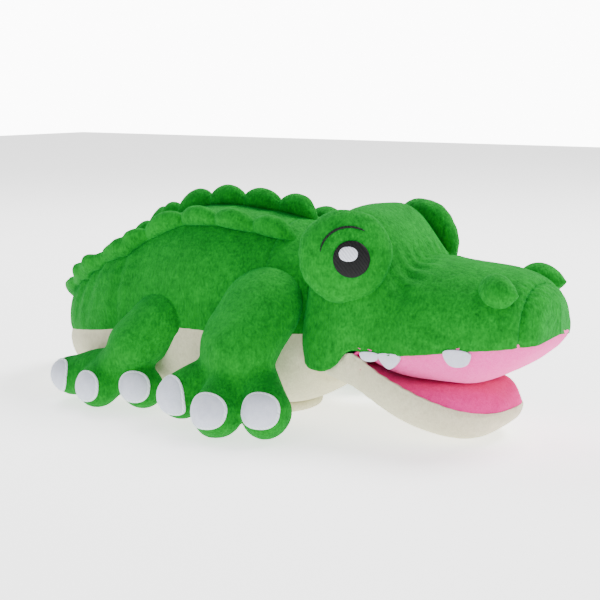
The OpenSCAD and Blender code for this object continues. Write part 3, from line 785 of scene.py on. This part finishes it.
for side, word in ((-1, "right"), (1, "left")):
    pad = eye_pad("puffed_pad_" + word, side)
    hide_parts("eye_pad_" + word)
    ground = surface_of(pad)
    out = (0.34, side, 0.08)
    eye_at = np.array([PAD_CENTRE[0] + 8.6, side * 50.0, PAD_CENTRE[1] - 0.4])
    eye = paint(lay_patch("stitched_eye_" + word, ground, eye_at, out, (0, 0, 1),
                          round_outline(19.6, 19.2), 1.3, 0.5), EYE_THREAD)
    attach(eye, "head")
    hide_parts("eye_" + word)
    light = paint(lay_patch("catch_light_" + word, surface_of(eye),
                            eye_at + np.array([-1.4, 0, 2.6]), out, (0, 0, 1),
                            round_outline(10, 7.6, 2.2), 0.7, 0.3, 6, 40), HIGHLIGHT_THREAD)
    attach(light, "head")
    if side < 0:
        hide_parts("eye_highlights")
    sweep = np.radians(np.linspace(176, 62, 40))
    path = np.stack([eye_at[0] - 1 + 17 * np.cos(sweep), np.full(40, side * 50.0),
                     eye_at[2] + 1.5 + 15 * np.sin(sweep)], axis=1)
    brow = paint(sewn_line("brow_line_" + word, ground, path, out, 1.5, 0.7), BROW_THREAD)
    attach(brow, "head")
    if side < 0:
        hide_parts("brow_stitching")
print("eyes ready")

# %% [markdown]
# ## Nostrils
# Two small stuffed lumps pinched out of the end of the snout, higher at the back and pointed
# forward and outward.

# %% Nostrils
for side, word in ((-1, "right"), (1, "left")):
    loops = []
    for t in np.linspace(0, 1, 22):
        swell = math.sin(math.pi * min(max(t, 0.02), 0.98)) ** 0.55
        middle = np.array([132 + 24 * t, side * (22.5 + 7 * t), 84.5 - 3.5 * t])
        angles = np.linspace(0, 2 * math.pi, 32, endpoint=False)
        wide = 9.2 * swell * (1 - 0.15 * t)
        tall = 10.4 * swell * (1 - 0.18 * t)
        loops.append(np.stack([np.full(32, middle[0]) + 1.5 * np.sin(angles),
                               middle[1] + wide * np.cos(angles),
                               middle[2] + tall * np.sin(angles)], axis=1))
    nostril = paint(solid_tube("nostril_lump_" + word, loops), GREEN_PLUSH)
    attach(nostril, "head")
    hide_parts("nostril_" + word)
print("nostrils ready")

# %% [markdown]
# ## The jaw
# The lower jaw is a cream bag, deep in the middle and turned up at the lip. Behind the mouth
# corner it goes over into the throat, which belongs to the head.

# %% Jaw form
JAW = smooth([
    (38, 38, 40, 31), (44, 41, 38, 28), (52, 43, 37.5, 25), (58, 44.5, 40, 22), (64, 45.6, 45, 18.5),
    (70, 46, 46.5, 15), (76, 45.6, 43.6, 11.5), (83, 45, 38.8, 8), (90, 44.2, 35, 5),
    (98, 43, 31.4, 2.4), (107, 40.8, 27.4, 0.8), (116, 37.6, 23.8, 0.2), (125, 33, 20.6, 1),
    (132.5, 27, 18.8, 4), (138.5, 19.5, 18, 8), (142.4, 11, 18.2, 12), (144, 0.5, 18.4, 15.4)])
JAW_TIP = 144.0


def jaw_point(x, v, lift=0.0):
    """v runs from the right edge (0) under the jaw to the left edge (180)."""
    x, v = np.broadcast_arrays(np.asarray(x, float), np.asarray(v, float))
    half, edge, bottom = JAW(x.ravel()).T.reshape(3, *x.shape)
    angle = np.radians(v)
    return np.stack([x, -(half + lift) * bow(np.cos(angle), 2.4),
                     edge - (edge - bottom + lift) * bow(np.sin(angle), 2.4)], axis=-1)


def jaw_skin_points(x, v):
    flat = jaw_point(x, v)
    x, v = np.broadcast_arrays(np.asarray(x, float), np.asarray(v, float))
    out = jaw_point(x, v, 1.0) - flat
    lip = np.minimum(v, 180 - v) / 57.3 * 32
    push = lumps(flat.reshape(-1, 3), 40, 0.9, 2.0).reshape(x.shape)
    push += seam_dip(lip, 0.9, 2.0) + gathers(lip, x, 0.4 * (x > 76), 6, 6.5)
    under = np.sin(np.radians(v))
    push += 0.7 * np.exp(-((x - 70) / 9) ** 2) * np.sin(x / 5.5 * 2 * math.pi) * (1 - under)
    push *= np.clip(flat[..., 2] / 6, 0.1, 1)
    return flat + out * (push * np.clip(JAW(x.ravel())[:, 0].reshape(x.shape) / 25, 0.1, 1))[..., None]


quarter = np.sin(np.linspace(0, math.pi / 2, 20))
jaw_lengths = np.concatenate([np.arange(38, 132, 1.6), 132.5 + (JAW_TIP - 132.5) * quarter])
x, v = np.meshgrid(jaw_lengths, ARCH, indexing="ij")
jaw_skin = mesh_object("jaw_and_throat_skin", jaw_skin_points(x, v).reshape(-1, 3),
                       grid_faces(len(jaw_lengths), len(ARCH)))
tidy(jaw_skin, outward=False)
if normals_of(jaw_skin)[len(ARCH) * 40 + len(ARCH) // 2][2] > 0:
    jaw_skin.data.flip_normals()
paint(jaw_skin, CREAM_PLUSH)
thicken(jaw_skin, 2.0)
move_points(jaw_skin, np.maximum(points_of(jaw_skin), [-1e9, -1e9, 0.15]))
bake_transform(jaw_skin)
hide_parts("jaw_panel", "throat_panel", "jaw_padding")
print("jaw skin", len(jaw_skin.data.polygons), "faces")

# %% [markdown]
# ## The mouth
# The palate and the tongue side are two pink pads, stuffed over the finger pocket and the thumb
# pocket. They bulge towards each other and meet in a fold at the back, where a strip of the same
# knit joins them.

# %% Palate, tongue and fold
def mouth_pad(name, lengths, edge_of, centre_of, fabric, inset):
    """A pad between the two lips: edge_of(x) gives half width and height, centre_of the middle."""
    across = np.sin(np.linspace(-math.pi / 2, math.pi / 2, 61))
    rows = []
    for place in lengths:
        half, edge = edge_of(place)
        middle = centre_of(place)[0, 0]
        half = max(half - inset, 0.4)
        fill = (1 - np.abs(across) ** 5) ** 0.8
        z = edge + (middle - edge) * fill
        row = np.stack([np.full(61, place), across * half, z], axis=1)
        row[:, 2] += lumps(row, 26, 0.35, 4.0) * fill
        near_edge = (1 - np.abs(across)) * half
        row[:, 2] += gathers(near_edge, place + row[:, 1], 0.3, 6, 6) * np.sign(middle - edge)
        rows.append(row)
    points = np.array(rows)
    piece = tidy(mesh_object(name, points.reshape(-1, 3), grid_faces(len(lengths), 61)), outward=False)
    paint(piece, fabric)
    return piece


def upper_edge(place):
    half, edge, _ = HEAD(place)[0]
    return half, edge + 2.2


def lower_edge(place):
    half, edge, _ = JAW(place)[0]
    return half, edge - 2.2


PALATE = smooth([(73, 43), (80, 38), (88, 34), (96, 32.6), (106, 32.2), (118, 32), (130, 33),
                 (140, 36.5), (148, 41.5), (155, 46.5), (160.5, 51), (164.4, 55.5), (166.6, 60)])
TONGUE = smooth([(73, 39), (80, 36), (88, 33), (96, 32), (106, 31.8), (118, 32), (127, 32),
                 (134, 30), (138.6, 26.6), (141.8, 22), (143.4, 17)])
front = np.linspace(0, 1, 54)
palate = mouth_pad("palate_pad", 73 + 93.6 * np.sin(front * math.pi / 2) ** 0.9, upper_edge, PALATE,
                   PALATE_KNIT, 1.3)
tongue = mouth_pad("tongue_pad", 73 + 70.4 * np.sin(front * math.pi / 2) ** 0.9, lower_edge, TONGUE,
                   TONGUE_KNIT, 1.3)
for pad, body, node, board, slot, lip_normal, lip_point, keep in (
        (palate, "head", "palate_lining", "upper_mouth_board", "palate_pink",
         (-0.1, 0, 0.995), (0.12, 0, 0.0535), 0.4),
        (tongue, "jaw", "tongue_lining", "lower_mouth_board", "tongue_pink",
         (0.38, 0, 0.925), (0.107, 0, 0.0265), 0.6)):
    up = normals_of(pad)[:, 2].mean()
    if (up > 0) == (body == "head"):
        pad.data.flip_normals()
    thicken(pad, 1.2)
    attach(pad, body)
    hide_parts(node, board)
    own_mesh(pad)
    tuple(lip_normal)
    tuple(lip_point)

bend = np.linspace(0, 1, 25)
fold_rows = []
for y in np.linspace(-45.2, 45.2, 45):
    sag = 1 - abs(y / 45.2) ** 3
    z = 49 - 9 * sag - bend * 10
    x = 76.5 - 5.5 * np.sin(bend * math.pi) - 3 * sag
    fold_rows.append(np.stack([x, np.full(25, y), z], axis=1))
fold = paint(mesh_object("mouth_fold", np.concatenate(fold_rows), grid_faces(45, 25)), TONGUE_KNIT)
tidy(fold, outward=False)
thicken(fold, 1.0)
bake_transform(fold)
print("mouth ready")

# %% [markdown]
# ## Teeth
# Three felt teeth hang from each side of the upper lip, cut flat from thick felt: a low rounded
# one near the corner, a pointed one, and a broad one further forward.

# %% Teeth
def tooth(name, side, place, outline):
    """A flat piece of felt behind the lip; outline holds its (forward, down) corners."""
    half = HEAD(np.array([place + f for f, _ in outline]))[:, 0]
    lip = HEAD(place)[0, 1]
    points, count = [], len(outline)
    for depth in (-0.9, 0.9):
        for (f, down), w in zip(outline, half):
            points.append((place + f, side * (w - 1.4 + depth - 0.05 * down), lip + 1.2 - down))
    faces = [tuple(range(count))[::-1], tuple(range(count, 2 * count))]
    faces += [(j, (j + 1) % count, count + (j + 1) % count, count + j) for j in range(count)]
    piece = mesh_object(name, points, faces)
    run_modifier(piece, "BEVEL", width=0.45 * MM, segments=3, limit_method="NONE")
    tidy(piece)
    paint(piece, WHITE_FELT)
    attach(piece, "head")
    return piece


def curve_through(corners, rounds=3):
    """Rounds a closed outline by cutting its corners a few times."""
    points = np.array(corners, float)
    for _ in range(rounds):
        ahead = np.roll(points, -1, axis=0)
        cuts = [points * 0.75 + ahead * 0.25, points * 0.25 + ahead * 0.75]
        points = np.stack(cuts, axis=1).reshape(-1, 2)
    return points


LOW_TOOTH = curve_through([(-5, 0), (5, 0), (5, 2.5), (3.5, 5.2), (-3, 5.2), (-5, 2.5)])
POINTED_TOOTH = curve_through([(-6.5, 0), (6.5, 0), (5.6, 4), (0.5, 9.2), (-3, 7), (-6, 3)])
BROAD_TOOTH = curve_through([(-7.5, 0), (7.5, 0), (7, 5), (4.5, 8.8), (-3, 9.4), (-6.8, 5)])
for side, word in ((-1, "right"), (1, "left")):
    for place, shape, title in ((81, LOW_TOOTH, "low"), (92, POINTED_TOOTH, "pointed"),
                                (128.5, BROAD_TOOTH, "broad")):
        piece = tooth(f"{title}_tooth_{word}", side, place, shape)
        if title == "low":
            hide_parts("teeth_" + word)
print("teeth ready")

# %% [markdown]
# ## Legs
# Each leg is a stuffed tube that comes out of the side seam, turns down and spreads into three
# fat toes. It is modelled the way a sculptor would: rounded lumps are pushed together, fused into
# one skin and smoothed, so the valleys between the toes stay soft. A felt nail is sewn on the
# end of each toe, with a satin edge.

# %% Lumps into one skin
def capsule(name, start, end, radius_start, radius_end, squash=1.0):
    """A rounded rod between two points; squash flattens its height."""
    start, end = np.array(start, float), np.array(end, float)
    axis = (end - start) / np.linalg.norm(end - start)
    side = np.cross(axis, (0, 0, 1.0))
    side /= np.linalg.norm(side)
    up = np.cross(side, axis)
    rings = []
    angles = np.linspace(0, 2 * math.pi, 24, endpoint=False)
    caps = np.linspace(0.1, math.pi / 2, 6)
    stops = [(start - axis * radius_start * math.cos(a), radius_start * math.sin(a)) for a in caps]
    stops += [(end + axis * radius_end * math.cos(a), radius_end * math.sin(a)) for a in caps[::-1]]
    for middle, radius in stops:
        circle = np.outer(np.cos(angles), side) + squash * np.outer(np.sin(angles), up)
        rings.append(middle + radius * circle)
    return solid_tube(name, rings)


def leg(name, side, limbs, toes, nails):
    """Limbs and toes are capsules, written for the right side; side mirrors them."""
    parts = [capsule(f"{name}_lump", *limb) for limb in limbs + toes]
    skin = fuse(name + "_skin", parts, 1.6, 4, 0.6)
    points = points_of(skin)
    points[:, 2] = np.where(points[:, 2] < 3, 3 - 2.7 * np.tanh((3 - points[:, 2]) / 2.7), points[:, 2])
    outward = normals_of(skin)
    points += outward * lumps(points, 30, 0.8, 5.0)[:, None]
    points[:, 2] = np.maximum(points[:, 2], 0.25)
    move_points(skin, points)
    ground = surface_of(skin)
    claws = []
    for k, (place, facing, wide, tall) in enumerate(nails):
        claw = lay_patch(f"{name}_nail_{k + 1}", ground, np.array(place, float), facing, (0, 0, 1),
                         round_outline(wide, tall, 2.3), 1.7, 0.5)
        paint(claw, WHITE_FELT)
        claws.append(claw)
        claws.append(paint(stitched_rim(f"{name}_nail_edge_{k + 1}", ground, place, facing, wide, tall),
                           EDGE_THREAD))
    for piece in [skin] + claws:
        if side > 0:
            flipped = points_of(piece) * [1, -1, 1]
            move_points(piece, flipped)
            piece.data.flip_normals()
    paint(skin, GREEN_PLUSH)
    for polygon in skin.data.polygons:
        polygon.use_smooth = True
    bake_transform(skin)
    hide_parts(name + "_skin", name + "_stuffing")
    for claw in claws:
        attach(claw, name)
    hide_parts(name.replace("leg", "claws"))
    return skin


def stitched_rim(name, surface, centre, facing, wide, tall):
    """The satin edge round a nail."""
    facing = np.array(facing, float) / np.linalg.norm(facing)
    side = np.cross((0, 0, 1), facing)
    side /= np.linalg.norm(side)
    up = np.cross(facing, side)
    outline = round_outline(wide, tall, 2.3)
    flat = np.array([outline(a) for a in np.linspace(0, 2 * math.pi, 73)])
    loop = flat @ np.array([side, up]) + centre
    return sewn_line(name, surface, loop, facing, 2.0, 0.9, ends=False)


FRONT_LIMBS = [((11, -45, 65), (9, -60, 48), 25, 25, 0.72), ((8, -59, 48), (7, -65, 31), 26, 24, 0.6)]
FRONT_TOES = [((0, -62, 32), (-20, -76, 18.5), 11.5, 13), ((9, -65, 31), (11, -85, 14.2), 11.5, 13.8),
              ((20, -62, 31), (36, -75, 15.5), 11.5, 13.5)]
FRONT_NAILS = [((-22, -86, 20.5), (-0.36, -0.86, 0.42), 18, 19),
               ((11, -94, 17), (0.05, -0.9, 0.4), 21.5, 17.5),
               ((38, -83, 18.5), (0.2, -0.9, 0.38), 20, 17.5)]
REAR_LIMBS = [((-60, -42, 52), (-70, -55, 38), 21, 20, 0.8),
              ((-70, -54, 38), (-84, -58, 23), 20, 17, 0.7)]
REAR_TOES = [((-86, -57, 22), (-115, -61, 14.5), 12.5, 12.5), ((-82, -60, 21), (-87, -70, 13.5), 12, 13),
             ((-74, -57, 22), (-60, -62, 14.5), 12, 12.5)]
REAR_NAILS = [((-119, -71, 17), (-0.3, -0.88, 0.38), 18, 17),
              ((-88, -81, 15.5), (-0.02, -0.92, 0.4), 18, 15.5),
              ((-59, -72, 17), (0.16, -0.92, 0.36), 18, 16)]
for side, word in ((-1, "right"), (1, "left")):
    leg(f"front_{word}_leg", side, FRONT_LIMBS, FRONT_TOES, FRONT_NAILS)
    leg(f"rear_{word}_leg", side, REAR_LIMBS, REAR_TOES, REAR_NAILS)
print("legs ready")

# %% [markdown]
# ## Scallops along the back
# Three rows of soft scallops run from the neck over the back and down the tail. Each row is one
# stuffed ribbon, pinched between the scallops, so it is puffed like a string of cushions.

# %% Scallops
def scallop_row(name, v, start, end, pitch, height):
    steps = int((end - start) / 1.3)
    s = np.linspace(start, end, steps)
    v = v + (v - 90) * 0.85 * np.clip((s - 95) / 80, 0, 1)
    base = body_skin_points(s, v)
    out = body_point(s, v, 1.0) - body_point(s, v)
    out /= np.linalg.norm(out, axis=1, keepdims=True)
    ahead = np.gradient(base, axis=0)
    ahead /= np.linalg.norm(ahead, axis=1, keepdims=True)
    side = np.cross(ahead, out)
    side /= np.linalg.norm(side, axis=1, keepdims=True)
    wave = np.abs(np.sin(math.pi * (s - start) / pitch)) ** 0.62
    size = np.interp(s, [start, BODY_END - 90, BODY_END], [1, 0.95, 0.45])
    ends = np.clip(np.minimum(s - start, end - s) / 6, 0, 1) ** 0.5
    tall = height * size * (0.52 + 0.48 * wave) * (0.3 + 0.7 * ends)
    wide = 6.2 * size * (0.5 + 0.5 * wave) * (0.3 + 0.7 * ends)
    sway = 0.8 * np.sin(s / 17)
    rings = []
    for angle in np.linspace(0, 2 * math.pi, 20, endpoint=False):
        up = (1 - math.cos(angle)) / 2
        thick = math.sin(angle) * (1 - 0.25 * up)
        rings.append(base + out * (tall * up - 1.2)[:, None]
                     + side * (wide * thick + sway * up)[:, None])
    piece = paint(solid_tube(name, np.stack(rings, axis=1)), GREEN_PLUSH)
    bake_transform(piece)
    return piece


SCALLOP_PITCH, SCALLOP_HEIGHT = 25, 13
rows = [scallop_row("scallops_" + word, v, start, end, SCALLOP_PITCH, SCALLOP_HEIGHT)
        for word, v, start, end in (("right", 60, 20, BODY_END - 14), ("centre", 90, 22, BODY_END - 8),
                                    ("left", 120, 20, BODY_END - 14))]
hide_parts("back_scallops_right", "tail_scallops")
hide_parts("back_scallops_centre")
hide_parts("back_scallops_left")
print("scallops ready")

# %% [markdown]
# ## Floor and light
# A pale floor that fades into the background, a large soft light above and behind, which makes
# the pile glow along the back, and weaker ones in front to open the shadows.

# %% Studio
floor = mesh_object("floor", [(-3000, -3000, 0), (3000, -3000, 0), (3000, 3000, 0), (-3000, 3000, 0)],
                    [(0, 1, 2, 3)])
floor_finish = Finish("floor_paper", Roughness=0.9, Specular_IOR_Level=0.1, Emission_Strength=1.7,
                      Emission_Color=(1, 1, 1, 1))
clouds = floor_finish.noise(3, 2, 0.5) * 0.3
floor_finish.colour(floor_finish.mix(clouds, rgb(255, 255, 255), rgb(250, 250, 252)))
paint(floor, floor_finish.material)

world = bpy.data.worlds.new("studio")
world.use_nodes = True
tree = world.node_tree
glow = tree.nodes["Background"]
glow.inputs["Color"].default_value = (1, 1, 1, 1)
glow.inputs["Strength"].default_value = 0.5
wall = tree.nodes.new("ShaderNodeBackground")
wall.inputs["Strength"].default_value = 14
choose, sight = tree.nodes.new("ShaderNodeMixShader"), tree.nodes.new("ShaderNodeLightPath")
tree.links.new(sight.outputs["Is Camera Ray"], choose.inputs[0])
tree.links.new(glow.outputs[0], choose.inputs[1])
tree.links.new(wall.outputs[0], choose.inputs[2])
tree.links.new(choose.outputs[0], tree.nodes["World Output"].inputs["Surface"])
bpy.context.scene.world = world


def soft_light(name, place, size, power):
    data = bpy.data.lights.new(name, "AREA")
    data.shape, data.size, data.energy = "DISK", size, power
    lamp = bpy.data.objects.new(name, data)
    bpy.context.scene.collection.objects.link(lamp)
    lamp.location = place
    lamp.rotation_euler = (Vector((0, 0, 0.05)) - Vector(place)).to_track_quat("-Z", "Y").to_euler()
    return lamp


soft_light("top_back", (0.7, 0.9, 1.5), 0.9, 58)
soft_light("left_back", (-0.9, 0.5, 1.1), 0.7, 12)
soft_light("front_fill", (0.1, -1.5, 0.9), 1.2, 8)
print("studio ready")
